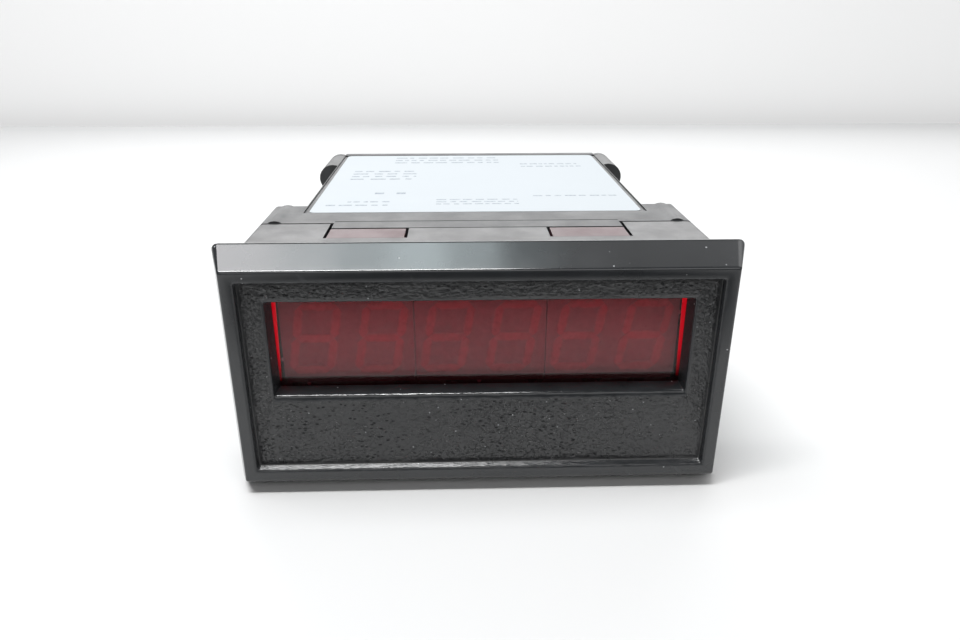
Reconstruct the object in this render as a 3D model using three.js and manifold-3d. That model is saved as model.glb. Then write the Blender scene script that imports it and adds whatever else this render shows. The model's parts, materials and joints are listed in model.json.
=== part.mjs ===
// Panel-mounted frequency counter of the one-eighth DIN size.
//
// A front housing (bezel, neck and window) carries the display board and the
// main board. It plugs into the front of a rear case, which is closed behind
// by a screwed rear cover.
//
// Millimetres, +Z up. Inside this file y is counted back from the bezel's front
// face and z from the middle of the bezel's height. The group at the end moves
// the origin to the middle of the footprint, under the bezel's lowest edge.

import * as THREE from 'three';
import { mergeVertices } from 'three/addons/utils/BufferGeometryUtils.js';
import Module from 'manifold-3d';

const wasm = await Module();
wasm.setup();

// Driving dimensions.
const GAP = 0.3; // between pieces that touch
const OVERALL_LENGTH = 110;

const BEZEL = { width: 96.5, height: 49.5, depth: 5.9, band: 0.5, radius: 1.8 };
const FACE = { width: 91.3, height: 43.06, drop: 0.4, radius: 0.4 };
const RECESS = { halfWidth: 43, bottom: -19.5, top: 18.95, depth: 2, lip: 0.6 };
const OPENING = { width: 78.2, height: 19.1, middle: 5.15, draft: 0.6, depth: 3.4 };
const FRONT_WALL = 2.4;

const NECK = { width: 91, height: 44.1, wall: 2, radius: 1.2, end: 28 };
const NOTCH = { halfWidth: 30.4, start: 24.2 };
const FINGER = { inner: 14, outer: 30.4, start: 15.5, side: 0.6, thickness: 1.6 };

const WINGS = { start: 28.4, end: 43 };
const CASE = { width: 77, height: 44.1, wall: 2, radius: 1, end: 106 };
const SKIRT = { start: 19.2, clearance: 0.4, wall: 1.6 };
const TONGUE = { halfWidth: 29.8, start: 24.6 };
const WING_RIB = { x: 42.25, radius: 3, proud: 0.4, margin: 0.4 };
const CORNER_BOSS = { x: 39.6, z: 18.1, radius: 3.9, start: 91 };
const LABEL = { halfWidth: 37.6, start: 37, end: 105, thickness: 0.2, sunk: 0.35 };
const COVER = { start: CASE.end + GAP, thickness: 2 };

const WINDOW_PANE = { width: 80.6, height: 20, thickness: 1.5 };
const LED = { width: 25, height: 19, depth: 7.9, pitch: 25.2, middle: 5.3 };
const DISPLAY_BOARD = { halfWidth: 42.5, halfHeight: 19.3, start: 15.7, thickness: 1.6 };
const BOARD_SCREWS = [[-34, 17.8], [34, 17.8], [-34, -15], [34, -15]];

const MAIN_BOARD = { halfWidth: 36.1, start: 19.5, end: 104.5, bottom: -12, thickness: 1.6 };
const BOARD_TOP = MAIN_BOARD.bottom + MAIN_BOARD.thickness;
const PARTS_BASE = BOARD_TOP + GAP;
const RAIL = { reach: 1.8, thickness: 1.7, start: 45, end: 100 };

const TERMINAL = { count: 6, pitch: 7.62, middle: -8.5, wall: 1.2, margin: 0.6 };
const TERMINAL_BODY = { start: 97, face: 103, end: 109.7, top: 5.9, screwZ: -1 };
const SWITCH = { count: 4, pitch: 2.54, left: 21, right: 33.2, start: 95, end: 105, top: -0.9 };
const SWITCH_SLOT = { width: 1.4, depth: 2, bottom: -7.5, top: -3.5 };

const finishes = {
  blackPlastic: { color: 0x2b2d30, roughness: 0.35, metalness: 0 },
  caseGrey: { color: 0x3a3c3f, roughness: 0.6, metalness: 0 },
  redAcrylic: { color: 0x8c0f1c, roughness: 0.2, metalness: 0 },
  ledFace: { color: 0x5a4a4d, roughness: 0.5, metalness: 0 },
  label: { color: 0xe6eef2, roughness: 0.45, metalness: 0 },
  circuitBoard: { color: 0x1d5a3a, roughness: 0.5, metalness: 0 },
  chip: { color: 0x1b1b1d, roughness: 0.6, metalness: 0 },
  steel: { color: 0xb8babc, roughness: 0.35, metalness: 1 },
  brass: { color: 0xb89b5a, roughness: 0.35, metalness: 1 },
  lamination: { color: 0x5c5f63, roughness: 0.55, metalness: 0.8 },
  windingTape: { color: 0xd8b13c, roughness: 0.5, metalness: 0 },
  sleeve: { color: 0x1f2f5f, roughness: 0.35, metalness: 0 },
  aluminium: { color: 0xa9adb1, roughness: 0.4, metalness: 1 },
  switchBody: { color: 0xa3262b, roughness: 0.45, metalness: 0 },
  whitePlastic: { color: 0xe8e6df, roughness: 0.5, metalness: 0 },
  terminalPlastic: { color: 0x202224, roughness: 0.5, metalness: 0 },
};

// Turns a closed three.js geometry into a solid that can be joined and cut.
function solidOf(geometry) {
  geometry.deleteAttribute('normal');
  geometry.deleteAttribute('uv');
  const merged = mergeVertices(geometry, 1e-4);
  const corners = merged.index.array;
  const kept = [];
  for (let i = 0; i < corners.length; i += 3) {
    const [a, b, c] = corners.slice(i, i + 3);
    if (a !== b && b !== c && c !== a) {
      kept.push(a, b, c);
    }
  }
  const mesh = new wasm.Mesh({
    numProp: 3,
    vertProperties: merged.attributes.position.array,
    triVerts: Uint32Array.from(kept),
  });
  return new wasm.Manifold(mesh);
}

function geometryOf(solid) {
  const mesh = solid.getMesh();
  const geometry = new THREE.BufferGeometry();
  geometry.setAttribute('position', new THREE.BufferAttribute(mesh.vertProperties, 3));
  geometry.setIndex(new THREE.BufferAttribute(mesh.triVerts, 1));
  geometry.computeVertexNormals();
  return geometry;
}

function join(solids) {
  return solids.reduce((whole, piece) => whole.add(piece));
}

function cut(solid, cutters) {
  return cutters.reduce((rest, cutter) => rest.subtract(cutter), solid);
}

// A box between two limits along each axis.
function block([x0, x1], [y0, y1], [z0, z1]) {
  const geometry = new THREE.BoxGeometry(x1 - x0, y1 - y0, z1 - z0);
  geometry.translate((x0 + x1) / 2, (y0 + y1) / 2, (z0 + z1) / 2);
  return solidOf(geometry);
}

// A round bar along y.
function barAlongY(radius, [y0, y1], x, z, sides = 16) {
  const geometry = new THREE.CylinderGeometry(radius, radius, y1 - y0, sides);
  geometry.translate(x, (y0 + y1) / 2, z);
  return solidOf(geometry);
}

// A round bar along z.
function barAlongZ(radius, [z0, z1], x, y, sides = 16) {
  const geometry = new THREE.CylinderGeometry(radius, radius, z1 - z0, sides);
  geometry.rotateX(Math.PI / 2);
  geometry.translate(x, y, (z0 + z1) / 2);
  return solidOf(geometry);
}

function roundedRectangle(width, height, radius) {
  const x = width / 2;
  const y = height / 2;
  const shape = new THREE.Shape();
  shape.moveTo(-x + radius, -y);
  shape.absarc(x - radius, -y + radius, radius, -Math.PI / 2, 0, false);
  shape.absarc(x - radius, y - radius, radius, 0, Math.PI / 2, false);
  shape.absarc(-x + radius, y - radius, radius, Math.PI / 2, Math.PI, false);
  shape.absarc(-x + radius, -y + radius, radius, Math.PI, Math.PI * 1.5, false);
  return shape;
}

// A rounded bar along y with a rectangular section, still as a geometry.
function roundedBarGeometry(width, height, radius, [y0, y1], middle = 0) {
  const outline = roundedRectangle(width, height, radius);
  const options = { depth: y1 - y0, bevelEnabled: false, curveSegments: 4 };
  const geometry = new THREE.ExtrudeGeometry(outline, options);
  geometry.rotateX(Math.PI / 2);
  geometry.translate(0, y1, middle);
  return geometry;
}

function roundedBar(width, height, radius, ys, middle = 0) {
  return solidOf(roundedBarGeometry(width, height, radius, ys, middle));
}

// A rounded bar whose front end has another size, corner radius and height.
function taperedBar(back, front, [y0, y1], middle = 0) {
  const geometry = roundedBarGeometry(back.width, back.height, back.radius, [y0, y1]);
  const position = geometry.attributes.position;
  const ratio = front.radius / back.radius;
  const moved = (value, backSize, frontSize) => {
    const pastCentre = Math.abs(value) - (backSize / 2 - back.radius);
    return Math.sign(value) * (frontSize / 2 - front.radius + pastCentre * ratio);
  };
  for (let i = 0; i < position.count; i += 1) {
    if (position.getY(i) < (y0 + y1) / 2) {
      position.setX(i, moved(position.getX(i), back.width, front.width));
      position.setZ(i, moved(position.getZ(i), back.height, front.height) - front.drop);
    }
  }
  geometry.translate(0, 0, middle);
  return solidOf(geometry);
}

const counter = new THREE.Group();
const frame = new THREE.Group();
frame.position.set(0, -OVERALL_LENGTH / 2, BEZEL.height / 2);
counter.add(frame);

function addPiece(name, solid, finish, [x, y, z] = [0, 0, 0]) {
  const mesh = new THREE.Mesh(geometryOf(solid), new THREE.MeshStandardMaterial(finishes[finish]));
  mesh.name = name;
  mesh.position.set(x, y, z);
  frame.add(mesh);
}

const upAndDown = [1, -1];
const leftAndRight = [-1, 1];

// Front housing: bezel, recessed front panel with its window opening, and neck.
const windowSeat = RECESS.depth + OPENING.depth;
const innerWidth = NECK.width - 2 * NECK.wall;
const innerHeight = NECK.height - 2 * NECK.wall;

function bezelBody() {
  const bandStart = BEZEL.depth - BEZEL.band;
  return join([
    taperedBar(BEZEL, FACE, [0, bandStart]),
    roundedBar(BEZEL.width, BEZEL.height, BEZEL.radius, [bandStart, BEZEL.depth]),
  ]);
}

function recessCutters() {
  const width = 2 * RECESS.halfWidth;
  const height = RECESS.top - RECESS.bottom;
  const middle = (RECESS.top + RECESS.bottom) / 2;
  const mouth = {
    width: width + 2 * RECESS.lip,
    height: height + 2 * RECESS.lip,
    radius: FACE.radius,
    drop: 0,
  };
  const throat = { width, height, radius: FACE.radius };
  return [
    roundedBar(width, height, FACE.radius, [-1, RECESS.depth], middle),
    taperedBar(throat, mouth, [0, RECESS.lip], middle),
  ];
}

function openingCutter() {
  const back = {
    width: OPENING.width - 2 * OPENING.draft,
    height: OPENING.height - 2 * OPENING.draft,
    radius: 0.2,
  };
  const front = { width: OPENING.width, height: OPENING.height, radius: 0.2, drop: 0 };
  return taperedBar(back, front, [RECESS.depth, windowSeat], OPENING.middle);
}

function housingCavity() {
  const start = RECESS.depth + FRONT_WALL;
  const cavity = block(
    [-innerWidth / 2, innerWidth / 2],
    [start, NECK.end + 1],
    [-innerHeight / 2, innerHeight / 2],
  );
  const landX = WINDOW_PANE.width / 2 + 0.8;
  const landZ = WINDOW_PANE.height / 2 + 0.6;
  const land = block(
    [-landX, landX],
    [start - 1, windowSeat],
    [OPENING.middle - landZ, OPENING.middle + landZ],
  );
  return cavity.subtract(land);
}

function neckCutters() {
  const wallZ = innerHeight / 2 - 0.5;
  const cutters = [];
  for (const side of upAndDown) {
    const zs = [side * wallZ, side * (wallZ + 4)].sort((a, b) => a - b);
    const notch = [-NOTCH.halfWidth, NOTCH.halfWidth];
    cutters.push(block(notch, [NOTCH.start, NECK.end + 1], zs));
    for (const hand of leftAndRight) {
      const xs = [hand * FINGER.inner, hand * FINGER.outer].sort((a, b) => a - b);
      cutters.push(block(xs, [FINGER.start, NOTCH.start + 0.1], zs));
    }
  }
  return cutters;
}

function frontHousing() {
  const shell = join([
    bezelBody(),
    roundedBar(NECK.width, NECK.height, NECK.radius, [BEZEL.depth - 1, NECK.end]),
  ]);
  const hollow = cut(shell, [
    housingCavity(),
    openingCutter(),
    ...recessCutters(),
    ...neckCutters(),
  ]);
  const postStart = RECESS.depth + FRONT_WALL - 0.2;
  const postEnd = DISPLAY_BOARD.start - GAP;
  const posts = BOARD_SCREWS.map(([x, z]) => barAlongY(2, [postStart, postEnd], x, z));
  const pilots = BOARD_SCREWS.map(([x, z]) => barAlongY(1.1, [9, postEnd + 1], x, z, 12));
  return cut(join([hollow, ...posts]), pilots);
}

addPiece('front_housing', frontHousing(), 'blackPlastic');

// Latch fingers, two above and two below, which give at their front end.
const fingerName = { 1: 'top', [-1]: 'bottom' };
const handName = { [-1]: 'left', 1: 'right' };

function latchFinger() {
  const length = NOTCH.start - GAP - (FINGER.start + GAP);
  const halfWidth = (FINGER.outer - FINGER.inner) / 2 - FINGER.side;
  const body = block([-halfWidth, halfWidth], [0, length], [-FINGER.thickness, 0]);
  const groove = block([-halfWidth - 1, halfWidth + 1], [1.2, 1.6], [-0.3, 1]);
  return body.subtract(groove);
}

for (const side of upAndDown) {
  for (const hand of leftAndRight) {
    const finger = side > 0 ? latchFinger() : latchFinger().mirror([0, 0, 1]);
    const x = hand * (FINGER.inner + FINGER.outer) / 2;
    const place = [x, FINGER.start + GAP, side * NECK.height / 2];
    addPiece(`latch_finger_${fingerName[side]}_${handName[hand]}`, finger, 'blackPlastic', place);
  }
}

// Display window and the boards behind it.
const paneStart = windowSeat + GAP;
const pane = roundedBar(
  WINDOW_PANE.width,
  WINDOW_PANE.height,
  0.5,
  [paneStart, paneStart + WINDOW_PANE.thickness],
  OPENING.middle,
);
addPiece('display_window', pane, 'redAcrylic');

const ledStart = DISPLAY_BOARD.start - GAP - LED.depth;

function ledModule() {
  const body = block(
    [-LED.width / 2, LED.width / 2],
    [0, LED.depth],
    [-LED.height / 2, LED.height / 2],
  );
  const grooves = leftAndRight.map((hand) => {
    const xs = [hand * (LED.width / 2 - 0.6), hand * (LED.width / 2 + 1)].sort((a, b) => a - b);
    return block(xs, [LED.depth - 1.2, LED.depth + 1], [-LED.height, LED.height]);
  });
  return cut(body, grooves);
}

for (const [number, step] of [[1, -1], [2, 0], [3, 1]]) {
  addPiece(`led_module_${number}`, ledModule(), 'ledFace', [step * LED.pitch, ledStart, LED.middle]);
}

const displayBoardEnd = DISPLAY_BOARD.start + DISPLAY_BOARD.thickness;
const displayBoard = cut(
  block(
    [-DISPLAY_BOARD.halfWidth, DISPLAY_BOARD.halfWidth],
    [DISPLAY_BOARD.start, displayBoardEnd],
    [-DISPLAY_BOARD.halfHeight, DISPLAY_BOARD.halfHeight],
  ),
  BOARD_SCREWS.map(([x, z]) => barAlongY(1.2, [DISPLAY_BOARD.start - 1, displayBoardEnd + 1], x, z, 12)),
);
addPiece('display_board', displayBoard, 'circuitBoard');

// A pan-head screw along y with its seat at y = 0 and its tip in front of it.
function panHeadScrew({ headRadius, headHeight, shankRadius, shankLength, slot }) {
  const head = barAlongY(headRadius, [0, headHeight], 0, 0, 20);
  const shank = barAlongY(shankRadius, [-shankLength, 0.1], 0, 0, 12);
  const top = [headHeight - slot.depth, headHeight + 1];
  const arms = [block([-slot.length, slot.length], top, [-slot.width, slot.width])];
  if (slot.crossed) {
    arms.push(block([-slot.width, slot.width], top, [-slot.length, slot.length]));
  }
  return cut(join([head, shank]), arms);
}

const boardScrew = panHeadScrew({
  headRadius: 1.9,
  headHeight: 1.2,
  shankRadius: 0.8,
  shankLength: 8,
  slot: { length: 1.2, width: 0.25, depth: 0.5, crossed: true },
});
BOARD_SCREWS.forEach(([x, z], index) => {
  addPiece(`display_screw_${index + 1}`, boardScrew, 'steel', [x, displayBoardEnd + GAP, z]);
});

// Main board with the power supply, the counting circuit and the terminals.
const mainBoard = block(
  [-MAIN_BOARD.halfWidth, MAIN_BOARD.halfWidth],
  [MAIN_BOARD.start, MAIN_BOARD.end],
  [MAIN_BOARD.bottom, BOARD_TOP],
);
addPiece('main_board', mainBoard, 'circuitBoard');

function boardHeader() {
  const pinCount = 12;
  const pinPitch = 3.2;
  const start = displayBoardEnd + GAP;
  const pins = [];
  for (let i = 0; i < pinCount; i += 1) {
    const x = (i - (pinCount - 1) / 2) * pinPitch;
    pins.push(block([x - 0.32, x + 0.32], [start, start + 0.8], [PARTS_BASE + 1, PARTS_BASE + 1.64]));
  }
  const body = block([-20.3, 20.3], [start + 0.7, start + 3.2], [PARTS_BASE, PARTS_BASE + 2.6]);
  return join([body, ...pins]);
}

addPiece('board_header', boardHeader(), 'chip');

// A dual in-line chip standing on z = 0 with its long side along y.
function dualInLineChip(pinsPerSide, bodyWidth, pinSpan) {
  const pitch = 2.54;
  const length = pinsPerSide * pitch + 0.6;
  const body = block([-bodyWidth / 2, bodyWidth / 2], [-length / 2, length / 2], [0.6, 4.2]);
  const notch = barAlongZ(0.9, [3.8, 5], 0, -length / 2, 12);
  const pins = [];
  for (let i = 0; i < pinsPerSide; i += 1) {
    const y = (i - (pinsPerSide - 1) / 2) * pitch;
    for (const hand of leftAndRight) {
      const xs = [hand * (bodyWidth / 2 - 0.2), hand * pinSpan / 2].sort((a, b) => a - b);
      pins.push(block(xs, [y - 0.6, y + 0.6], [0, 2.4]));
    }
  }
  return join([body.subtract(notch), ...pins]);
}

addPiece('counter_chip', dualInLineChip(12, 13.2, 15.2), 'chip', [9, 41, PARTS_BASE]);
addPiece('driver_chip_1', dualInLineChip(8, 6.4, 7.8), 'chip', [-26, 35, PARTS_BASE]);
addPiece('driver_chip_2', dualInLineChip(8, 6.4, 7.8), 'chip', [-12, 35, PARTS_BASE]);

function crystalCan() {
  const can = (width, depth, [z0, z1]) => {
    const outline = roundedRectangle(width, depth, depth / 2 - 0.01);
    const options = { depth: z1 - z0, bevelEnabled: false, curveSegments: 3 };
    const geometry = new THREE.ExtrudeGeometry(outline, options);
    geometry.translate(0, 0, z0);
    return solidOf(geometry);
  };
  return join([can(11, 4.8, [0, 0.8]), can(10.2, 4, [0.7, 12.5])]);
}

addPiece('time_base_crystal', crystalCan(), 'steel', [26, 28, PARTS_BASE]);

// Trimmer that sets the time base, with a rotor turned by a screwdriver.
const TRIMMER = { x: 26, y: 40, half: 3.2, height: 3.6, rotor: 2.2, stem: 1 };
const trimmerBody = cut(
  block([-TRIMMER.half, TRIMMER.half], [-TRIMMER.half, TRIMMER.half], [0, TRIMMER.height]),
  [barAlongZ(TRIMMER.stem + GAP, [1, TRIMMER.height + 1], 0, 0)],
);
const trimmerRotor = cut(
  join([
    barAlongZ(TRIMMER.rotor, [TRIMMER.height + GAP, TRIMMER.height + 1.3], 0, 0, 20),
    barAlongZ(TRIMMER.stem, [1.5, TRIMMER.height + 0.5], 0, 0, 12),
  ]),
  [block([-1.6, 1.6], [-0.25, 0.25], [TRIMMER.height + 0.8, TRIMMER.height + 2])],
);
addPiece('trimmer_body', trimmerBody, 'whitePlastic', [TRIMMER.x, TRIMMER.y, PARTS_BASE]);
addPiece('trimmer_rotor', trimmerRotor, 'brass', [TRIMMER.x, TRIMMER.y, PARTS_BASE]);

// Mains transformer: an E-and-I core round the middle of its winding.
const CORE = { width: 30, height: 25, limb: 5, stack: 13, x: -17, y: 63.5, base: PARTS_BASE + 0.5 };

function transformerCore() {
  const halfStack = CORE.stack / 2;
  const window = [CORE.limb, CORE.height - CORE.limb];
  const body = block([-CORE.width / 2, CORE.width / 2], [-halfStack, halfStack], [0, CORE.height]);
  const windows = leftAndRight.map((hand) => {
    const xs = [hand * CORE.limb, hand * 2 * CORE.limb].sort((a, b) => a - b);
    return block(xs, [-halfStack - 1, halfStack + 1], window);
  });
  return cut(body, windows);
}

function transformerWinding() {
  const outline = roundedRectangle(4 * CORE.limb - 2 * GAP, CORE.stack + 10, 2.5);
  const height = CORE.height - 2 * CORE.limb - 2 * GAP;
  const options = { depth: height, bevelEnabled: false, curveSegments: 4 };
  const geometry = new THREE.ExtrudeGeometry(outline, options);
  geometry.translate(0, 0, CORE.limb + GAP);
  const limb = CORE.limb + GAP;
  const stack = CORE.stack / 2 + GAP;
  return solidOf(geometry).subtract(block([-limb, limb], [-stack, stack], [0, CORE.height]));
}

addPiece('transformer_core', transformerCore(), 'lamination', [CORE.x, CORE.y, CORE.base]);
addPiece('transformer_winding', transformerWinding(), 'windingTape', [CORE.x, CORE.y, CORE.base]);

// An upright can capacitor with a rolled groove near its foot.
function capacitor(radius, height) {
  const profile = [
    [0, 0],
    [radius - 0.3, 0],
    [radius, 0.4],
    [radius, 1.6],
    [radius - 0.4, 2],
    [radius, 2.4],
    [radius, height - 0.4],
    [radius - 0.4, height],
    [0, height],
  ].map(([x, y]) => new THREE.Vector2(x, y));
  const geometry = new THREE.LatheGeometry(profile, 16);
  geometry.rotateX(Math.PI / 2);
  return solidOf(geometry);
}

addPiece('reservoir_capacitor', capacitor(6.3, 20), 'sleeve', [22, 62, PARTS_BASE]);
addPiece('output_capacitor', capacitor(4, 12), 'sleeve', [8, 80, PARTS_BASE]);

function bridgeRectifier() {
  const body = block([-4.5, 4.5], [-3.2, 3.2], [0.8, 4.4]);
  const legs = [];
  for (const x of [-3.6, 3.6]) {
    for (const y of [-2.2, 2.2]) {
      legs.push(block([x - 0.4, x + 0.4], [y - 0.4, y + 0.4], [0, 1]));
    }
  }
  return join([body, ...legs]);
}

addPiece('bridge_rectifier', bridgeRectifier(), 'chip', [6, 66, PARTS_BASE]);

// Regulator standing against its finned heat sink.
const SINK = { x: 24.5, y: 84, halfWidth: 9.5, plate: 1.6, height: 22, fin: 1, fins: 6, reach: 7 };

function heatSink() {
  const plate = block([-SINK.halfWidth, SINK.halfWidth], [0, SINK.plate], [0, SINK.height]);
  const fins = [];
  for (let i = 0; i < SINK.fins; i += 1) {
    const x = -SINK.halfWidth + (i * (2 * SINK.halfWidth - SINK.fin)) / (SINK.fins - 1);
    fins.push(block([x, x + SINK.fin], [SINK.plate - 0.1, SINK.reach], [0, SINK.height]));
  }
  return join([plate, ...fins]);
}

function regulator() {
  const back = -GAP;
  const body = block([-5, 5], [back - 4.2, back], [5.5, 14.5]);
  const tab = cut(block([-5, 5], [back - 1.3, back], [14, 20.5]), [
    barAlongY(1.6, [back - 3, back + 1], 0, 17.6),
  ]);
  const legs = [-2.54, 0, 2.54].map((x) => {
    return block([x - 0.4, x + 0.4], [back - 2.6, back - 2], [0, 6]);
  });
  return join([body, tab, ...legs]);
}

addPiece('heat_sink', heatSink(), 'aluminium', [SINK.x, SINK.y, PARTS_BASE]);
addPiece('voltage_regulator', regulator(), 'chip', [SINK.x, SINK.y, PARTS_BASE]);

// Terminal strip: a screw and a square clamp washer between each two walls.
const terminalHalfPitch = TERMINAL.pitch / 2;
const terminalX = (index) => TERMINAL.middle + (index - (TERMINAL.count - 1) / 2) * TERMINAL.pitch;

function terminalBody() {
  const left = terminalX(0) - terminalHalfPitch - TERMINAL.margin;
  const right = terminalX(TERMINAL.count - 1) + terminalHalfPitch + TERMINAL.margin;
  const zs = [PARTS_BASE, TERMINAL_BODY.top];
  const walls = [];
  for (let i = 0; i <= TERMINAL.count; i += 1) {
    const x = terminalX(i) - terminalHalfPitch;
    const xs = [x - TERMINAL.wall / 2, x + TERMINAL.wall / 2];
    walls.push(block(xs, [TERMINAL_BODY.face - 0.1, TERMINAL_BODY.end], zs));
  }
  const holes = [];
  for (let i = 0; i < TERMINAL.count; i += 1) {
    const depth = [TERMINAL_BODY.start + 1, TERMINAL_BODY.face + 1];
    holes.push(barAlongY(1.6, depth, terminalX(i), TERMINAL_BODY.screwZ, 12));
  }
  const base = block([left, right], [TERMINAL_BODY.start, TERMINAL_BODY.face], zs);
  return cut(join([base, ...walls]), holes);
}

addPiece('terminal_strip', terminalBody(), 'terminalPlastic');

const WASHER = { half: 2.8, thickness: 0.8 };
const clampWasher = block([-WASHER.half, WASHER.half], [0, WASHER.thickness], [-WASHER.half, WASHER.half])
  .subtract(barAlongY(1.6, [-1, WASHER.thickness + 1], 0, 0));
const terminalScrew = panHeadScrew({
  headRadius: 2.6,
  headHeight: 1.6,
  shankRadius: 1.3,
  shankLength: 5.8,
  slot: { length: 2, width: 0.35, depth: 0.8, crossed: false },
});
for (let i = 0; i < TERMINAL.count; i += 1) {
  const washerY = TERMINAL_BODY.face + GAP;
  const screwY = washerY + WASHER.thickness + GAP;
  addPiece(`clamp_washer_${i + 1}`, clampWasher, 'brass', [terminalX(i), washerY, TERMINAL_BODY.screwZ]);
  addPiece(`terminal_screw_${i + 1}`, terminalScrew, 'steel', [terminalX(i), screwY, TERMINAL_BODY.screwZ]);
}

// Range switch: four sliders in a body that looks out through the rear cover.
const switchX = (index) => {
  const middle = (SWITCH.left + SWITCH.right) / 2;
  return middle + (index - (SWITCH.count - 1) / 2) * SWITCH.pitch;
};

function switchBody() {
  const body = block([SWITCH.left, SWITCH.right], [SWITCH.start, SWITCH.end], [PARTS_BASE, SWITCH.top]);
  const slots = [];
  for (let i = 0; i < SWITCH.count; i += 1) {
    const xs = [switchX(i) - SWITCH_SLOT.width / 2, switchX(i) + SWITCH_SLOT.width / 2];
    const ys = [SWITCH.end - SWITCH_SLOT.depth, SWITCH.end + 1];
    slots.push(block(xs, ys, [SWITCH_SLOT.bottom, SWITCH_SLOT.top]));
  }
  return cut(body, slots);
}

addPiece('range_switch', switchBody(), 'switchBody');

const slider = join([
  block([-0.4, 0.4], [-1.6, 0.8], [0, 1.6]),
  block([-0.4, 0.4], [0.5, 0.9], [0.3, 1.3]),
]);
for (let i = 0; i < SWITCH.count; i += 1) {
  const place = [switchX(i), SWITCH.end, SWITCH_SLOT.bottom + GAP];
  addPiece(`switch_slider_${i + 1}`, slider, 'whitePlastic', place);
}

// Rear case: skirt and tongues inside the neck, wings behind it, then the body.
const bossPlaces = upAndDown.flatMap((side) => {
  return leftAndRight.map((hand) => [hand * CORNER_BOSS.x, side * CORNER_BOSS.z]);
});

function caseOutside() {
  const skirtWidth = innerWidth - 2 * SKIRT.clearance;
  const skirtHeight = innerHeight - 2 * SKIRT.clearance;
  const pieces = [
    roundedBar(skirtWidth, skirtHeight, 0.6, [SKIRT.start, WINGS.start + 1]),
    roundedBar(NECK.width, NECK.height, NECK.radius, [WINGS.start, WINGS.end]),
    roundedBar(CASE.width, CASE.height, CASE.radius, [WINGS.end - 1, CASE.end]),
  ];
  for (const side of upAndDown) {
    const zs = [side * (skirtHeight / 2 - 0.5), side * NECK.height / 2].sort((a, b) => a - b);
    const tongue = [-TONGUE.halfWidth, TONGUE.halfWidth];
    pieces.push(block(tongue, [TONGUE.start, WINGS.start + 0.5], zs));
    for (const hand of leftAndRight) {
      const ribZ = side * (NECK.height / 2 + WING_RIB.proud - WING_RIB.radius);
      const ys = [WINGS.start + WING_RIB.margin, WINGS.end - WING_RIB.margin];
      pieces.push(barAlongY(WING_RIB.radius, ys, hand * WING_RIB.x, ribZ, 24));
    }
  }
  for (const [x, z] of bossPlaces) {
    pieces.push(barAlongY(CORNER_BOSS.radius, [CORNER_BOSS.start, CASE.end], x, z, 24));
  }
  return join(pieces);
}

function caseInside() {
  const skirtX = innerWidth / 2 - SKIRT.clearance - SKIRT.wall;
  const skirtZ = innerHeight / 2 - SKIRT.clearance - SKIRT.wall;
  const bodyX = CASE.width / 2 - CASE.wall;
  const bodyZ = CASE.height / 2 - CASE.wall;
  const ringEnd = WINGS.start + 1.6;
  const wingEnd = WINGS.end - CASE.wall;
  const body = block([-bodyX, bodyX], [wingEnd - 1, CASE.end + 1], [-bodyZ, bodyZ]);
  const rails = [];
  for (const hand of leftAndRight) {
    for (const [low, high] of [
      [MAIN_BOARD.bottom - GAP - RAIL.thickness, MAIN_BOARD.bottom - GAP],
      [BOARD_TOP + GAP, BOARD_TOP + GAP + RAIL.thickness],
    ]) {
      const xs = [hand * (bodyX - RAIL.reach), hand * (bodyX + 1)].sort((a, b) => a - b);
      rails.push(block(xs, [RAIL.start, RAIL.end], [low, high]));
    }
  }
  return join([
    block([-skirtX, skirtX], [SKIRT.start - 1, ringEnd + 1], [-skirtZ, skirtZ]),
    block([-innerWidth / 2, innerWidth / 2], [ringEnd, wingEnd], [-bodyZ, bodyZ]),
    cut(body, rails),
  ]);
}

function rearCase() {
  const top = CASE.height / 2;
  const labelSeat = block(
    [-LABEL.halfWidth - 0.2, LABEL.halfWidth + 0.2],
    [LABEL.start - 0.2, LABEL.end + 0.2],
    [top - LABEL.sunk, top + 1],
  );
  const seam = block([-TONGUE.halfWidth, TONGUE.halfWidth], [29.5, 29.8], [top - 0.25, top + 1]);
  const screwHoles = bossPlaces.map(([x, z]) => barAlongY(1.45, [97.4, CASE.end + 1], x, z));
  return cut(caseOutside(), [caseInside(), labelSeat, seam, ...screwHoles]);
}

addPiece('rear_case', rearCase(), 'caseGrey');

const labelTop = CASE.height / 2 - 0.05;
const labelSheet = block(
  [-LABEL.halfWidth, LABEL.halfWidth],
  [LABEL.start, LABEL.end],
  [labelTop - LABEL.thickness, labelTop],
);
addPiece('top_label', labelSheet, 'label');

// Rear cover with openings for the terminals and the switch, and vent slots.
const coverEnd = COVER.start + COVER.thickness;

function rearCover() {
  const ys = [COVER.start, coverEnd];
  const through = [COVER.start - 1, coverEnd + 1];
  const plate = roundedBar(CASE.width, CASE.height, CASE.radius, ys);
  const lugs = bossPlaces.map(([x, z]) => barAlongY(CORNER_BOSS.radius, ys, x, z, 24));
  const tabZ = CASE.height / 2 - CASE.wall - GAP;
  const tabs = upAndDown.map((side) => {
    const zs = [side * (tabZ - 1.4), side * tabZ].sort((a, b) => a - b);
    return block([-25, 25], [COVER.start - 3, COVER.start + 0.1], zs);
  });
  const terminalLeft = terminalX(0) - terminalHalfPitch - 1.2;
  const terminalRight = terminalX(TERMINAL.count - 1) + terminalHalfPitch + 1.2;
  const openings = [
    block([terminalLeft, terminalRight], through, [PARTS_BASE - 0.6, TERMINAL_BODY.top + 0.6]),
    block([SWITCH.left - 0.6, SWITCH.right + 0.6], through, [PARTS_BASE - 0.1, SWITCH.top + 0.6]),
  ];
  for (let i = -4; i <= 4; i += 1) {
    openings.push(block([i * 6 - 0.9, i * 6 + 0.9], through, [9.5, 16.5]));
  }
  const holes = bossPlaces.map(([x, z]) => barAlongY(1.6, through, x, z));
  return cut(join([plate, ...lugs, ...tabs]), [...openings, ...holes]);
}

addPiece('rear_cover', rearCover(), 'caseGrey');

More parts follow.
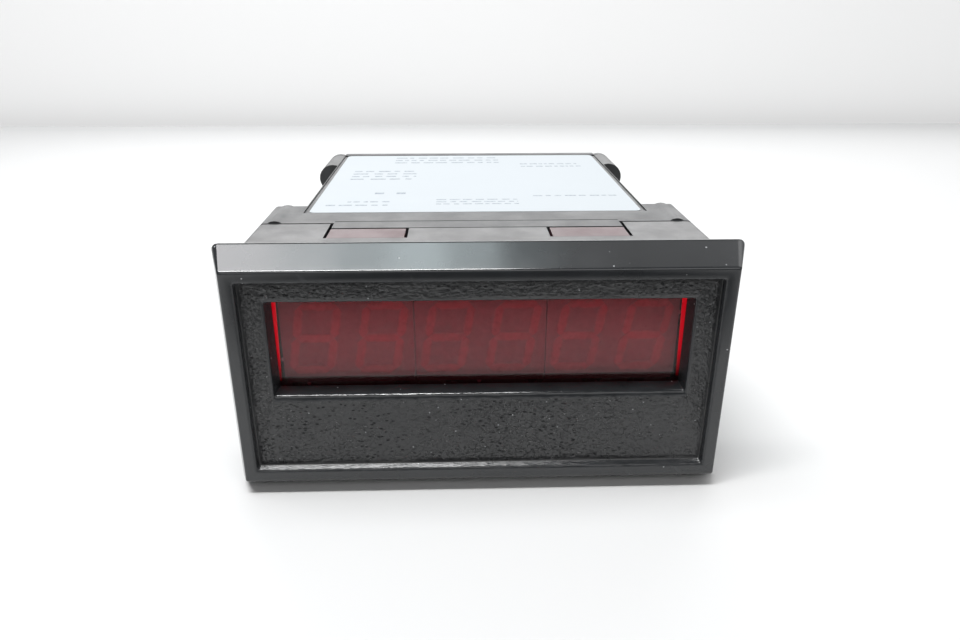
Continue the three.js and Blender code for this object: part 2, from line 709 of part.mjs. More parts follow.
const coverScrew = panHeadScrew({
  headRadius: 2.7,
  headHeight: OVERALL_LENGTH - coverEnd - GAP,
  shankRadius: 1.1,
  shankLength: 10,
  slot: { length: 1.7, width: 0.35, depth: 0.7, crossed: true },
});
bossPlaces.forEach(([x, z], index) => {
  addPiece(`cover_screw_${index + 1}`, coverScrew, 'steel', [x, coverEnd + GAP, z]);
});

export default counter;
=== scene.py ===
"""A panel-mounted frequency counter: the looks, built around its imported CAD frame.

Metres, +Z up, in the CAD's own frame. The object's sizes in the constants below are in
millimetres, and the stage's are in metres. Depths (y) of the front housing count back
from its front face, as in the CAD source.
"""

import itertools
import json
import math
import random

import bmesh
import bpy
import numpy as np
from mathutils import Matrix, Vector, noise

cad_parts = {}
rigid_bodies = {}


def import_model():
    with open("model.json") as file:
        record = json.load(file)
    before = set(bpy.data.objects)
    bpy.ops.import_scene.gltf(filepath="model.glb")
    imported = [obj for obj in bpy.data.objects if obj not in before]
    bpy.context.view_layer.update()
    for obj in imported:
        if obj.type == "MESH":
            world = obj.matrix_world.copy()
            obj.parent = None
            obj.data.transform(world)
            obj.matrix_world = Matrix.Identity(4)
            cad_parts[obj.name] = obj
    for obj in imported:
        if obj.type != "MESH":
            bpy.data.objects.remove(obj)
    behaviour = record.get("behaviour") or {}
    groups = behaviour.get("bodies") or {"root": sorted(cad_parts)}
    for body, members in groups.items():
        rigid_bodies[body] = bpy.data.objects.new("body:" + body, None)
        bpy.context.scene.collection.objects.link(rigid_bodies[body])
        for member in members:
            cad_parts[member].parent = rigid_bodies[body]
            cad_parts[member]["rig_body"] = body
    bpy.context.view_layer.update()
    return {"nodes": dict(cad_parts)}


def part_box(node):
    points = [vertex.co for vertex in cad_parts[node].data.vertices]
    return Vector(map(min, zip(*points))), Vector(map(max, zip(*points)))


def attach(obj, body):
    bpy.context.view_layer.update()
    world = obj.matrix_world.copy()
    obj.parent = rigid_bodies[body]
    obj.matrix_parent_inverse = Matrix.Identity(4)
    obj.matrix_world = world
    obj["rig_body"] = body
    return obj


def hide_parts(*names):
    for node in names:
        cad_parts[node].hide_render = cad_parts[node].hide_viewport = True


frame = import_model()

MM = 0.001
SEED = 7
STRETCH_SHARE = 0.45  # the most of a stretch that one rounded corner may take
COPY = {"merge": 0.002, "flat_deg": 0.5, "bevel_from_deg": 40, "crisp_from_deg": 30}

# Section of the front housing, in millimetres: half sizes follow from these.
BEZEL = {"width": 96.0, "height": 49.5, "radius": 1.1, "back": 5.9, "band": 0.5}
FACE = {"width": 91.8, "height": 43.06, "radius": 0.35, "middle": -0.4}
RECESS = {"width": 87.0, "height": 38.45, "radius": 0.5, "middle": -0.275, "depth": 1.5}
PANEL = {"width": 86.7, "height": 38.1, "middle": -0.1}
OPENING = {"width": 77.9, "height": 19.02, "middle": 5.38, "radius": 0.35}
SEAT = {"width": 77.0, "height": 17.9, "middle": 5.15, "depth": 5.4}
LAND = {"width": 82.2, "height": 21.2}
NECK = {"width": 91.0, "height": 44.1, "radius": 1.2, "wall": 2.0, "end": 28.0}
FRONT_WALL_BACK = 4.4
INSIDE_RADIUS = 0.3
NOTCH_START = 24.2
FINGER_POCKET = {"inner": 14.0, "outer": 30.4, "start": 17.4, "root_gap": 0.06}

POST = {"radius": 2.0, "hole": 1.1, "hole_start": 9.0, "board_gap": 0.3, "sunk": 0.2}

# Grain of the recessed front panel, in millimetres.
GRAIN = {"height": 0.16, "margin": 0.1, "fade": 0.9, "pit": 0.16}

# The display, in millimetres: its figures, the plates behind them, the window's lit ends.
FIGURE = {"pitch": 12.65, "width": 8.5, "height": 14.5, "bar": 1.3, "slant_deg": 9.5}
FIGURES_MIDDLE = 5.2
BAR_GAP = 0.06
BAR_LAYERS = (
    ("figures", FIGURE["bar"], 0.12, "segment"),
    ("spread", FIGURE["bar"] + 0.55, 0.09, "segment_edge"),
)  # what is laid on a module's face: name, bar width, how proud, finish
BAR_SUNK = 0.02
FACE_PLATE = {"side": 0.02, "end": 0.3, "top": 0.1, "bottom": 1.35, "proud": 0.06, "sunk": 0.2}
LIT_END = {"inner": 38.25, "outer": 39.9, "lean": 0.45, "top": 1.0, "bottom": 1.2}


# Frame positions ---------------------------------------------------------------------

housing_low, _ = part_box("front_housing")
FRONT_Y = housing_low.y
MIDDLE_Z = housing_low.z + BEZEL["height"] * MM / 2


def to_frame(points):
    """Points in the housing's millimetres (x, depth, height from the middle) to metres."""
    points = np.asarray(points, float) * MM
    return points + np.array([0.0, FRONT_Y, MIDDLE_Z])


# Mesh helpers ------------------------------------------------------------------------


def link(name, mesh):
    piece = bpy.data.objects.new(name, mesh)
    bpy.context.scene.collection.objects.link(piece)
    return piece


def mesh_from(name, points, faces):
    """A mesh whose faces all point out."""
    mesh = bpy.data.meshes.new(name)
    mesh.from_pydata([tuple(p) for p in points], [], [tuple(f) for f in faces])
    work = bmesh.new()
    work.from_mesh(mesh)
    bmesh.ops.recalc_face_normals(work, faces=work.faces)
    work.to_mesh(mesh)
    work.free()
    return mesh


def shade(mesh, angle_deg=35.0):
    """Smooth shading, with edges sharper than the angle kept crisp."""
    mesh.shade_smooth()
    mesh.set_sharp_from_angle(angle=math.radians(angle_deg))


def applied(piece):
    """Replaces a piece's mesh by what its modifiers make of it."""
    graph = bpy.context.evaluated_depsgraph_get()
    mesh = bpy.data.meshes.new_from_object(piece.evaluated_get(graph))
    piece.modifiers.clear()
    piece.data = mesh
    return piece


def rounded_outline(half_width, half_height, radius, columns, rows, corner):
    """Points round a rectangle with rounded corners, the same count at every size."""
    points = []
    sides = [
        ((1, -1), 0.0, rows),
        ((1, 1), 0.5, columns),
        ((-1, 1), 1.0, rows),
        ((-1, -1), 1.5, columns),
    ]
    centres = []
    for (sx, sz), _, _ in sides:
        centres.append((sx * (half_width - radius), sz * (half_height - radius)))
    for index, ((_, _), turn, count) in enumerate(sides):
        cx, cz = centres[index]
        for step in range(corner + 1):
            angle = math.pi * (turn - 0.5 + 0.5 * step / corner)
            points.append((cx + radius * math.cos(angle), cz + radius * math.sin(angle)))
        nx, nz = centres[(index + 1) % 4]
        end = math.pi * turn
        start = points[-1]
        stop = (nx + radius * math.cos(end), nz + radius * math.sin(end))
        for step in range(1, count):
            share = step / count
            points.append(tuple(a + (b - a) * share for a, b in zip(start, stop)))
    return points


def softened(keys, steps=4):
    """Rings along a section, with each corner ring rounded by its own soft length.

    A key is (half width, half height, corner radius, depth, middle, soft, rings to next,
    finish to next). Each ring comes with the number of the key that it follows.
    """
    values = [np.array(k[:5], float) for k in keys]
    rings = []
    marks = []

    def span(a, b):
        side = max(abs(b[0] - a[0]), abs(b[1] - a[1]))
        return math.hypot(side, b[3] - a[3])

    count = len(keys)
    for index, key in enumerate(keys):
        here = values[index]
        before = values[index - 1]
        after = values[(index + 1) % count]
        soft = key[5]
        back = min(soft, STRETCH_SHARE * span(before, here)) / span(before, here)
        ahead = min(soft, STRETCH_SHARE * span(here, after)) / span(here, after)
        start = here + (before - here) * back
        stop = here + (after - here) * ahead
        for step in range(steps + 1):
            t = step / steps
            rings.append((1 - t) ** 2 * start + 2 * t * (1 - t) * here + t * t * stop)
            marks.append(index)
        following = keys[(index + 1) % count]
        reach = min(following[5], STRETCH_SHARE * span(here, after)) / span(here, after)
        goal = after + (here - after) * reach
        for step in range(1, key[6]):
            rings.append(stop + (goal - stop) * step / key[6])
            marks.append(index)
    return rings, marks


def ring_loft(rings, columns, rows, corner=4):
    """Points and four-sided faces of rings joined one to the next, and last to first."""
    points = []
    for half_width, half_height, radius, depth, middle in rings:
        outline = rounded_outline(half_width, half_height, radius, columns, rows, corner)
        points.extend((x, depth, z + middle) for x, z in outline)
    count = len(points) // len(rings)
    faces = []
    for ring in range(len(rings)):
        following = (ring + 1) % len(rings)
        for i in range(count):
            j = (i + 1) % count
            faces.append(
                (ring * count + i, following * count + i, following * count + j, ring * count + j)
            )
    return np.array(points), faces, count


def block(low, high):
    """Corners and faces of a box between two corners."""
    corners = list(itertools.product(*zip(low, high)))
    faces = [(0, 1, 3, 2), (4, 6, 7, 5), (0, 4, 5, 1), (2, 3, 7, 6), (0, 2, 6, 4), (1, 5, 7, 3)]
    return corners, faces


def turned(section, sides):
    """Points and faces of a closed section (radius, depth) turned about the depth axis."""
    points = []
    faces = []
    rows = []
    for radius, depth in section:
        if radius:
            turns = [2 * math.pi * i / sides for i in range(sides)]
            rows.append([len(points) + i for i in range(sides)])
            points += [(radius * math.cos(t), depth, radius * math.sin(t)) for t in turns]
        else:
            rows.append([len(points)] * sides)
            points.append((0.0, depth, 0.0))
    for first, second in zip(rows, rows[1:] + rows[:1]):
        for i in range(sides):
            j = (i + 1) % sides
            corners = list(dict.fromkeys((first[i], first[j], second[j], second[i])))
            if len(corners) > 2:
                faces.append(tuple(corners))
    return points, faces


def joined(parts):
    """One list of points and faces from several."""
    points = []
    faces = []
    for part_points, part_faces in parts:
        start = len(points)
        points.extend(part_points)
        faces.extend(tuple(i + start for i in face) for face in part_faces)
    return points, faces


def cut(piece, parts, name):
    """Cuts closed solids out of a piece, given as points and faces in metres."""
    points, faces = joined(parts)
    cutter = link(name, mesh_from(name, points, faces))
    modifier = piece.modifiers.new("cut", "BOOLEAN")
    modifier.operation = "DIFFERENCE"
    modifier.solver = "EXACT"
    modifier.object = cutter
    applied(piece)
    bpy.data.objects.remove(cutter)
    return piece


def soft_copy(node, soft, behind=None):
    """A copy of a CAD node with merged faces and its sharp edges rounded by soft mm.

    Where behind is given, only what lies behind that y is kept.
    """
    source = frame["nodes"][node].data
    work = bmesh.new()
    work.from_mesh(source)
    bmesh.ops.remove_doubles(work, verts=work.verts, dist=COPY["merge"] * MM)
    flat = math.radians(COPY["flat_deg"])
    bmesh.ops.dissolve_limit(work, angle_limit=flat, verts=work.verts, edges=work.edges)
    if behind is not None:
        everything = work.verts[:] + work.edges[:] + work.faces[:]
        plane = {"plane_co": (0.0, behind, 0.0), "plane_no": (0.0, 1.0, 0.0)}
        bmesh.ops.bisect_plane(work, geom=everything, clear_inner=True, **plane)
        bmesh.ops.holes_fill(work, edges=[e for e in work.edges if e.is_boundary], sides=0)
    points = [v.co[:] for v in work.verts]
    work.verts.index_update()
    faces = [[v.index for v in f.verts] for f in work.faces]
    work.free()
    piece = link(f"{node}_shell", mesh_from(node, points, faces))
    if soft:
        bevel = piece.modifiers.new("soft", "BEVEL")
        bevel.width = soft * MM
        bevel.segments = 2
        bevel.limit_method = "ANGLE"
        bevel.angle_limit = math.radians(COPY["bevel_from_deg"])
        bevel.use_clamp_overlap = True
        bevel.miter_outer = "MITER_SHARP"
        applied(piece)
    shade(piece.data, COPY["crisp_from_deg"])
    level = piece.modifiers.new("level", "WEIGHTED_NORMAL")
    level.keep_sharp = True
    return applied(piece)


def body_of(node):
    return frame["nodes"][node]["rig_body"]


def place(piece, finish, slot, *nodes, body=None):
    """Gives a piece its finish, its body and the CAD nodes that it stands for."""
    piece.data.materials.clear()
    piece.data.materials.append(finish)
    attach(piece, body or body_of(nodes[0]))
    if nodes:
        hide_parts(*nodes)
    return piece


# Materials ---------------------------------------------------------------------------


class Nodes:
    """Short calls for building one material's node tree."""

    def __init__(self, name):
        self.material = bpy.data.materials.new(name)
        self.material.use_nodes = True
        self.tree = self.material.node_tree
        self.tree.nodes.clear()
        self.output = self.tree.nodes.new("ShaderNodeOutputMaterial")
        self.place = self.tree.nodes.new("ShaderNodeTexCoord").outputs["Object"]

    def add(self, kind, inputs=None, **settings):
        node = self.tree.nodes.new(kind)
        for key, value in settings.items():
            setattr(node, key, value)
        for key, value in (inputs or {}).items():
            if isinstance(value, bpy.types.NodeSocket):
                self.tree.links.new(value, node.inputs[key])
            else:
                node.inputs[key].default_value = value
        return node

    def noise(self, scale, detail=3.0, roughness=0.5, vector=None):
        inputs = {"Scale": scale, "Detail": detail, "Roughness": roughness}
        inputs["Vector"] = vector or self.place
        return self.add("ShaderNodeTexNoise", inputs).outputs["Fac"]

    def ramp(self, fac, low, high, start, stop):
        """Maps fac between low and high to start..stop, held beyond them."""
        inputs = {"Value": fac, "From Min": low, "From Max": high, "To Min": start, "To Max": stop}
        return self.add("ShaderNodeMapRange", inputs).outputs["Result"]

    def mix(self, fac, first, second):
        node = self.add("ShaderNodeMix", data_type="RGBA")
        for key, value in ((0, fac), (6, first), (7, second)):
            if isinstance(value, bpy.types.NodeSocket):
                self.tree.links.new(value, node.inputs[key])
            else:
                node.inputs[key].default_value = value
        return node.outputs[2]

    def math(self, operation, first, second=0.0):
        node = self.add("ShaderNodeMath", operation=operation)
        for key, value in ((0, first), (1, second)):
            if isinstance(value, bpy.types.NodeSocket):
                self.tree.links.new(value, node.inputs[key])
            else:
                node.inputs[key].default_value = value
        return node.outputs[0]

    def bump(self, height, depth, strength=1.0, normal=None):
        inputs = {"Height": height, "Distance": depth, "Strength": strength}
        if normal:
            inputs["Normal"] = normal
        return self.add("ShaderNodeBump", inputs).outputs["Normal"]

    def specks(self, scale, share, size):
        """A mask of small scattered dots: 1 on a speck, 0 elsewhere."""
        cells = self.add("ShaderNodeTexVoronoi", {"Scale": scale, "Vector": self.place})
        chosen = self.math("LESS_THAN", self.add(
            "ShaderNodeSeparateColor", {"Color": cells.outputs["Color"]}
        ).outputs["Red"], share)
        near = self.ramp(cells.outputs["Distance"], size, size * 0.6, 0.0, 1.0)
        return self.math("MULTIPLY", chosen, near)

    def edges(self):
        """A mask of worn outward edges."""
        pointed = self.add("ShaderNodeNewGeometry").outputs["Pointiness"]
        return self.ramp(pointed, 0.52, 0.6, 0.0, 1.0)

    def finish(self, inputs):
        shader = self.add("ShaderNodeBsdfPrincipled", inputs)
        self.tree.links.new(shader.outputs[0], self.output.inputs["Surface"])
        return self.material


def rgba(red, green, blue):
    return (red, green, blue, 1.0)


def shaded(colour, factor):
    return tuple(min(1.0, c * factor) for c in colour[:3]) + (1.0,)


def moulded(name, colour, rough, grain, depth, dust=0.0, spread=0.06, wear=0.3, **fixed):
    """Moulded plastic: slight tone drift, uneven gloss, fine grain, worn edges and dust."""
    n = Nodes(name)
    drift = n.noise(90, 4)
    tone = n.mix(n.ramp(drift, 0.3, 0.7, 0.0, 1.0), shaded(colour, 0.85), shaded(colour, 1.15))
    worn = n.math("MULTIPLY", n.edges(), n.ramp(n.noise(900, 2), 0.35, 0.7, 0.2, wear))
    tone = n.mix(worn, tone, shaded(colour, 3.0))
    smudge = n.ramp(n.noise(140, 5, 0.65), 0.35, 0.75, rough - spread, rough + spread)
    gloss = n.math("ADD", smudge, n.math("MULTIPLY", worn, 0.15))
    normal = n.bump(n.noise(grain, 3, 0.6), depth * MM)
    if dust:
        speck = n.specks(400, dust, 0.07)
        tone = n.mix(speck, tone, rgba(0.35, 0.36, 0.37))
        gloss = n.math("ADD", gloss, n.math("MULTIPLY", speck, 0.4))
    return n.finish({"Base Color": tone, "Roughness": gloss, "Normal": normal, **fixed})


def grained_panel():
    """Black plastic with shallow lumps and sharp small pits, dark dots of painted shade in the
    pits, and dust on top.
    """
    n = Nodes("panel_grain_pit_shade")
    share = n.add("ShaderNodeAttribute", attribute_name="grain").outputs["Fac"]
    wander = n.add("ShaderNodeMapping", {"Vector": n.place, "Scale": (1.0, 1.0, 1.5)}).outputs[0]
    pits = n.ramp(n.noise(1700, 2.0, 0.55, wander), 0.36, 0.44, 0.0, 1.0)
    creases = n.ramp(n.noise(950, 1.0, 0.5, wander), 0.36, 0.44, 0.0, 1.0)
    calm = n.ramp(n.noise(70, 2), 0.4, 0.6, 0.3, 1.0)
    strength = n.math("MULTIPLY", share, calm)
    relief = n.math("MULTIPLY", n.math("ADD", pits, n.math("MULTIPLY", creases, 0.6)), strength)
    normal = n.bump(n.noise(5000, 2), 0.003 * MM)
    normal = n.bump(relief, GRAIN["pit"] * MM, normal=normal)
    drift = n.noise(40, 3)
    dim, pale = rgba(0.019, 0.0195, 0.0205), rgba(0.026, 0.0265, 0.0275)
    tone = n.mix(n.ramp(drift, 0.3, 0.7, 0, 1), dim, pale)
    speck = n.specks(430, 0.9, 0.07)
    tone = n.mix(speck, tone, rgba(0.3, 0.31, 0.32))
    gloss = n.ramp(n.noise(300, 4), 0.3, 0.7, 0.26, 0.34)
    gloss = n.math("ADD", gloss, n.math("MULTIPLY", speck, 0.4))
    skin = n.add(
        "ShaderNodeBsdfPrincipled",
        {"Base Color": tone, "Roughness": gloss, "Normal": normal, "IOR": 1.6},
    )
    slanted = n.add(
        "ShaderNodeMapping",
        {"Vector": n.place, "Rotation": (0.0, math.radians(24), 0.0), "Scale": (0.62, 1.0, 1.25)},
    )
    # Painted shade: dark dots, in patches, over the small pits.
    dots = n.add("ShaderNodeTexVoronoi", {"Scale": 1150.0, "Vector": slanted.outputs[0]})
    pit_shade_dot = n.ramp(dots.outputs["Distance"], 0.2, 0.3, 1.0, 0.0)
    patch = n.ramp(n.noise(110, 3), 0.42, 0.54, 0.0, 1.0)
    hole = n.math("MULTIPLY", pit_shade_dot, n.math("MULTIPLY", patch, share))
    # The pit finish is near black and barely mirrors: painted shade inside the pits.
    pit = n.add(
        "ShaderNodeBsdfPrincipled",
        {"Base Color": rgba(0.01, 0.01, 0.011), "Roughness": 0.75, "IOR": 1.2},
    )
    share = n.math("MULTIPLY", hole, 0.85)
    both = n.add("ShaderNodeMixShader", {0: share, 1: skin.outputs[0], 2: pit.outputs[0]})
    n.tree.links.new(both.outputs[0], n.output.inputs["Surface"])
    return n.material


def polished_ledge(name, colour, lean, relief):
    """A glossy ledge round the recess or the window, with polishing streaks relief mm deep.

    Lean tips what looks up towards the front, as the draft of the moulding tool does.
    """
    n = Nodes(name)
    facing = n.add("ShaderNodeNewGeometry").outputs["Normal"]
    upward = n.add("ShaderNodeSeparateXYZ", {"Vector": facing}).outputs["Z"]
    forward = n.add("ShaderNodeCombineXYZ", {"Y": n.ramp(upward, 0.0, 1.0, 0.0, -lean)})
    tipped = n.add("ShaderNodeVectorMath", {0: facing, 1: forward.outputs[0]}, operation="ADD")
    tipped = n.add("ShaderNodeVectorMath", {0: tipped.outputs[0]}, operation="NORMALIZE")
    along = n.add("ShaderNodeMapping", {"Vector": n.place, "Scale": (0.14, 1.0, 1.0)}).outputs[0]
    streak = n.noise(2400, 3, 0.6, along)
    ripple = n.noise(420, 2, 0.5)
    tone = n.mix(n.ramp(n.noise(200, 3), 0.3, 0.7, 0, 1), shaded(colour, 0.8), shaded(colour, 1.2))
    speck = n.specks(430, 0.8, 0.07)
    tone = n.mix(speck, tone, rgba(0.3, 0.31, 0.32))
    normal = n.bump(streak, relief * MM, normal=tipped.outputs[0])
    normal = n.bump(ripple, 0.6 * relief * MM, normal=normal)
    gloss = n.ramp(streak, 0.3, 0.7, 0.08, 0.2)
    return n.finish({"Base Color": tone, "Roughness": gloss, "Normal": normal, "IOR": 1.52})


def metal(name, colour, rough, brushed=(1.0, 1.0, 1.0), wear=0.2):
    """Plated or bare metal with fine streaks and dull patches."""
    n = Nodes(name)
    mapped = n.add("ShaderNodeMapping", {"Vector": n.place, "Scale": brushed}).outputs["Vector"]
    streak = n.noise(1200, 3, 0.6, mapped)
    dull = n.noise(300, 4, 0.6)
    tone = n.mix(n.ramp(dull, 0.3, 0.75, 0.0, 1.0), shaded(colour, 1.08), shaded(colour, 0.72))
    tone = n.mix(n.math("MULTIPLY", n.edges(), wear), tone, shaded(colour, 1.4))
    gloss = n.ramp(streak, 0.3, 0.7, rough * 0.7, rough * 1.35)
    normal = n.bump(streak, 0.01 * MM, 0.7)
    return n.finish({"Base Color": tone, "Roughness": gloss, "Normal": normal, "Metallic": 1.0})


def circuit_board():
    """Green solder mask over faint tracks, with pads at random."""
    n = Nodes("board_mask")
    bricks = n.add(
        "ShaderNodeTexBrick",
        {"Vector": n.place, "Scale": 180.0, "Mortar Size": 0.018, "Bias": 0.0,
         "Brick Width": 0.9, "Row Height": 0.28},
    )
    track = n.ramp(bricks.outputs["Fac"], 0.3, 0.7, 0.0, 1.0)
    pads = n.specks(420, 0.2, 0.24)
    cloud = n.ramp(n.noise(120, 4), 0.3, 0.7, 0, 1)
    tone = n.mix(cloud, rgba(0.008, 0.07, 0.03), rgba(0.014, 0.1, 0.045))
    tone = n.mix(track, tone, rgba(0.03, 0.2, 0.07))
    tone = n.mix(pads, tone, rgba(0.55, 0.55, 0.52))
    weave = n.noise(2600, 2)
    relief = n.math("ADD", n.math("MULTIPLY", track, 0.6), n.math("MULTIPLY", weave, 0.2))
    normal = n.bump(relief, 0.03 * MM)
    gloss = n.ramp(n.noise(200, 4), 0.3, 0.7, 0.22, 0.42)
    return n.finish({"Base Color": tone, "Roughness": gloss, "Normal": normal})


def stacked_sheets():
    """The thin steel sheets of the transformer core, on edge."""
    n = Nodes("core_sheets")
    waves = n.add(
        "ShaderNodeTexWave",
        {"Vector": n.place, "Scale": 420.0, "Distortion": 0.3, "Detail": 1.0},
        bands_direction="Y",
    ).outputs["Fac"]
    tone = n.mix(n.ramp(waves, 0.2, 0.8, 0, 1), rgba(0.05, 0.052, 0.056), rgba(0.2, 0.205, 0.21))
    tone = n.mix(n.ramp(n.noise(160, 4), 0.55, 0.75, 0, 0.5), tone, rgba(0.16, 0.09, 0.05))
    gloss = n.ramp(n.noise(400, 3), 0.3, 0.7, 0.35, 0.6)
    normal = n.bump(waves, 0.05 * MM)
    return n.finish({"Base Color": tone, "Roughness": gloss, "Normal": normal, "Metallic": 0.85})


def wrapped_tape():
    """Yellow winding tape, wrapped in overlapping turns."""
    n = Nodes("winding_wrap")
    waves = n.add(
        "ShaderNodeTexWave",
        {"Vector": n.place, "Scale": 90.0, "Distortion": 0.6, "Detail": 2.0},
        bands_direction="Z",
        wave_profile="SAW",
    ).outputs["Fac"]
    tone = n.mix(n.ramp(waves, 0.0, 1.0, 0, 1), rgba(0.5, 0.3, 0.03), rgba(0.72, 0.5, 0.08))
    tone = n.mix(n.ramp(n.noise(220, 4), 0.5, 0.8, 0, 0.5), tone, rgba(0.35, 0.2, 0.03))
    gloss = n.ramp(n.noise(500, 3), 0.3, 0.7, 0.3, 0.5)
    return n.finish({"Base Color": tone, "Roughness": gloss, "Normal": n.bump(waves, 0.06 * MM)})


def paper():
    """Coated label paper with fibres and a slight curl in its gloss."""
    n = Nodes("label_stock")
    fibre = n.noise(1800, 4, 0.7)
    cloud = n.noise(60, 3)
    tone = n.mix(n.ramp(cloud, 0.3, 0.7, 0, 1), rgba(0.45, 0.48, 0.505), rgba(0.47, 0.5, 0.525))
    tone = n.mix(n.ramp(fibre, 0.62, 0.8, 0.0, 0.25), tone, rgba(0.38, 0.42, 0.46))
    gloss = n.ramp(cloud, 0.3, 0.7, 0.6, 0.7)
    normal = n.bump(fibre, 0.008 * MM)
    return n.finish({"Base Color": tone, "Roughness": gloss, "Normal": normal, "IOR": 1.3})


def ink():
    """Worn grey-blue print."""
    n = Nodes("label_ink")
    worn = n.ramp(n.noise(1500, 3, 0.6), 0.4, 0.7, 0.0, 1.0)
    tone = n.mix(worn, rgba(0.2, 0.23, 0.27), rgba(0.42, 0.46, 0.5))
    gloss = n.ramp(worn, 0, 1, 0.5, 0.7)
    normal = n.bump(worn, 0.004 * MM)
    return n.finish({"Base Color": tone, "Roughness": gloss, "Normal": normal, "IOR": 1.3})


def red_lens():
    """Deep red window plastic: it filters what is behind it and mirrors what is in front."""
    n = Nodes("window_tint")
    cloud = n.noise(120, 4, 0.6)
    fine = n.noise(2400, 2)
    filtered = n.add("ShaderNodeBsdfTransparent", {"Color": rgba(0.86, 0.40, 0.45)})
    haze = n.add(
        "ShaderNodeBsdfPrincipled",
        {
            "Base Color": n.mix(cloud, rgba(0.3, 0.02, 0.04), rgba(0.36, 0.03, 0.05)),
            "Roughness": n.ramp(cloud, 0.3, 0.7, 0.3, 0.4),
        },
    )
    dust = n.math("MULTIPLY", n.specks(330, 0.7, 0.06), 0.6)
    body = n.add(
        "ShaderNodeMixShader",
        {0: n.math("ADD", dust, 0.02), 1: filtered.outputs[0], 2: haze.outputs[0]},
    )
    mirror = n.add(
        "ShaderNodeBsdfGlossy",
        {"Roughness": n.ramp(cloud, 0.3, 0.7, 0.1, 0.14), "Normal": n.bump(fine, 0.003 * MM)},
    )
    grazing = n.add("ShaderNodeLayerWeight", {"Blend": 0.5}).outputs["Facing"]
    share = n.ramp(n.math("POWER", grazing, 5.0), 0.0, 1.0, 0.052, 1.0)
    both = n.add("ShaderNodeMixShader", {0: share, 1: body.outputs[0], 2: mirror.outputs[0]})
    n.tree.links.new(both.outputs[0], n.output.inputs["Surface"])
    return n.material


def painted_edge_glow():
    """The window's ends: an emission paints the red glow of the room's light carried sideways
    through them, and painted shade dims it low.
    """
    n = Nodes("window_edge")
    streak = n.noise(700, 3)
    height = n.add("ShaderNodeSeparateXYZ", {"Vector": n.place}).outputs["Z"]
    low = MIDDLE_Z + (SEAT["middle"] - SEAT["height"] / 2) * MM
    # Painted shade: the glow fades out towards the bottom of the ends.
    up = n.ramp(height, low + 0.6 * MM, low + 6.0 * MM, 0.0, 1.0)
    # Painted glow: emission makes the ends shine red, though they hold no lamp.
    glow = n.mix(up, rgba(0.05, 0.0, 0.002), rgba(0.62, 0.012, 0.04))
    return n.finish(
        {
            "Base Color": n.mix(streak, rgba(0.2, 0.004, 0.01), rgba(0.26, 0.006, 0.015)),
            "Roughness": n.ramp(streak, 0.3, 0.7, 0.3, 0.5),
            "Normal": n.bump(streak, 0.01 * MM),
            "Emission Color": glow,
            "Emission Strength": 1.0,
        }
    )


black = rgba(0.0205, 0.022, 0.024)
finishes = {
    "bezel": moulded("bezel_gloss", black, 0.14, 260, 0.004, dust=0.5, spread=0.04, IOR=1.62),
    "ledge": polished_ledge("recess_ledge", black, 0.3, 0.1),
    "sill": polished_ledge("window_ledge", black, 0.3, 0.035),
    "panel": grained_panel(),
    "neck": moulded("neck_satin", rgba(0.022, 0.022, 0.0235), 0.4, 2600, 0.01, IOR=1.52),
    "finger": moulded("finger_satin", rgba(0.052, 0.02, 0.023), 0.43, 2600, 0.01, IOR=1.52),
    "case": moulded("case_satin", rgba(0.022, 0.023, 0.0245), 0.44, 2200, 0.014, IOR=1.52),
    "led": moulded("led_face", rgba(0.21, 0.195, 0.195), 0.5, 1500, 0.01, wear=0.1),
    "led_body": moulded("led_body", rgba(0.035, 0.03, 0.03), 0.5, 1500, 0.01, wear=0.0),
    "segment": moulded("led_segment", rgba(0.36, 0.125, 0.15), 0.4, 2000, 0.006, wear=0.0),
    "segment_edge": moulded("led_spread", rgba(0.285, 0.17, 0.18), 0.45, 2000, 0.006, wear=0.0),
    "chip": moulded("chip_epoxy", rgba(0.018, 0.018, 0.02), 0.55, 2400, 0.02),
    "sleeve": moulded("capacitor_sleeve", rgba(0.012, 0.03, 0.12), 0.3, 900, 0.01),
    "switch": moulded("switch_body", rgba(0.38, 0.022, 0.03), 0.42, 1800, 0.01),
    "white": moulded("white_plastic", rgba(0.72, 0.7, 0.65), 0.45, 1800, 0.01, wear=0.0),
    "terminal": moulded("terminal_black", rgba(0.02, 0.021, 0.023), 0.42, 2000, 0.012),
    "steel": metal("screw_steel", rgba(0.56, 0.57, 0.58), 0.3),
    "brass": metal("plated_brass", rgba(0.62, 0.47, 0.22), 0.3),
    "aluminium": metal("sink_aluminium", rgba(0.6, 0.61, 0.62), 0.38, (1.0, 1.0, 0.06)),
    "board": circuit_board(),
    "core": stacked_sheets(),
    "tape": wrapped_tape(),
    "label": paper(),
    "ink": ink(),
    "lens": red_lens(),
    "edge": painted_edge_glow(),
}


# Front housing -----------------------------------------------------------------------

HOUSING_FINISHES = ("bezel", "panel", "neck", "ledge", "sill")


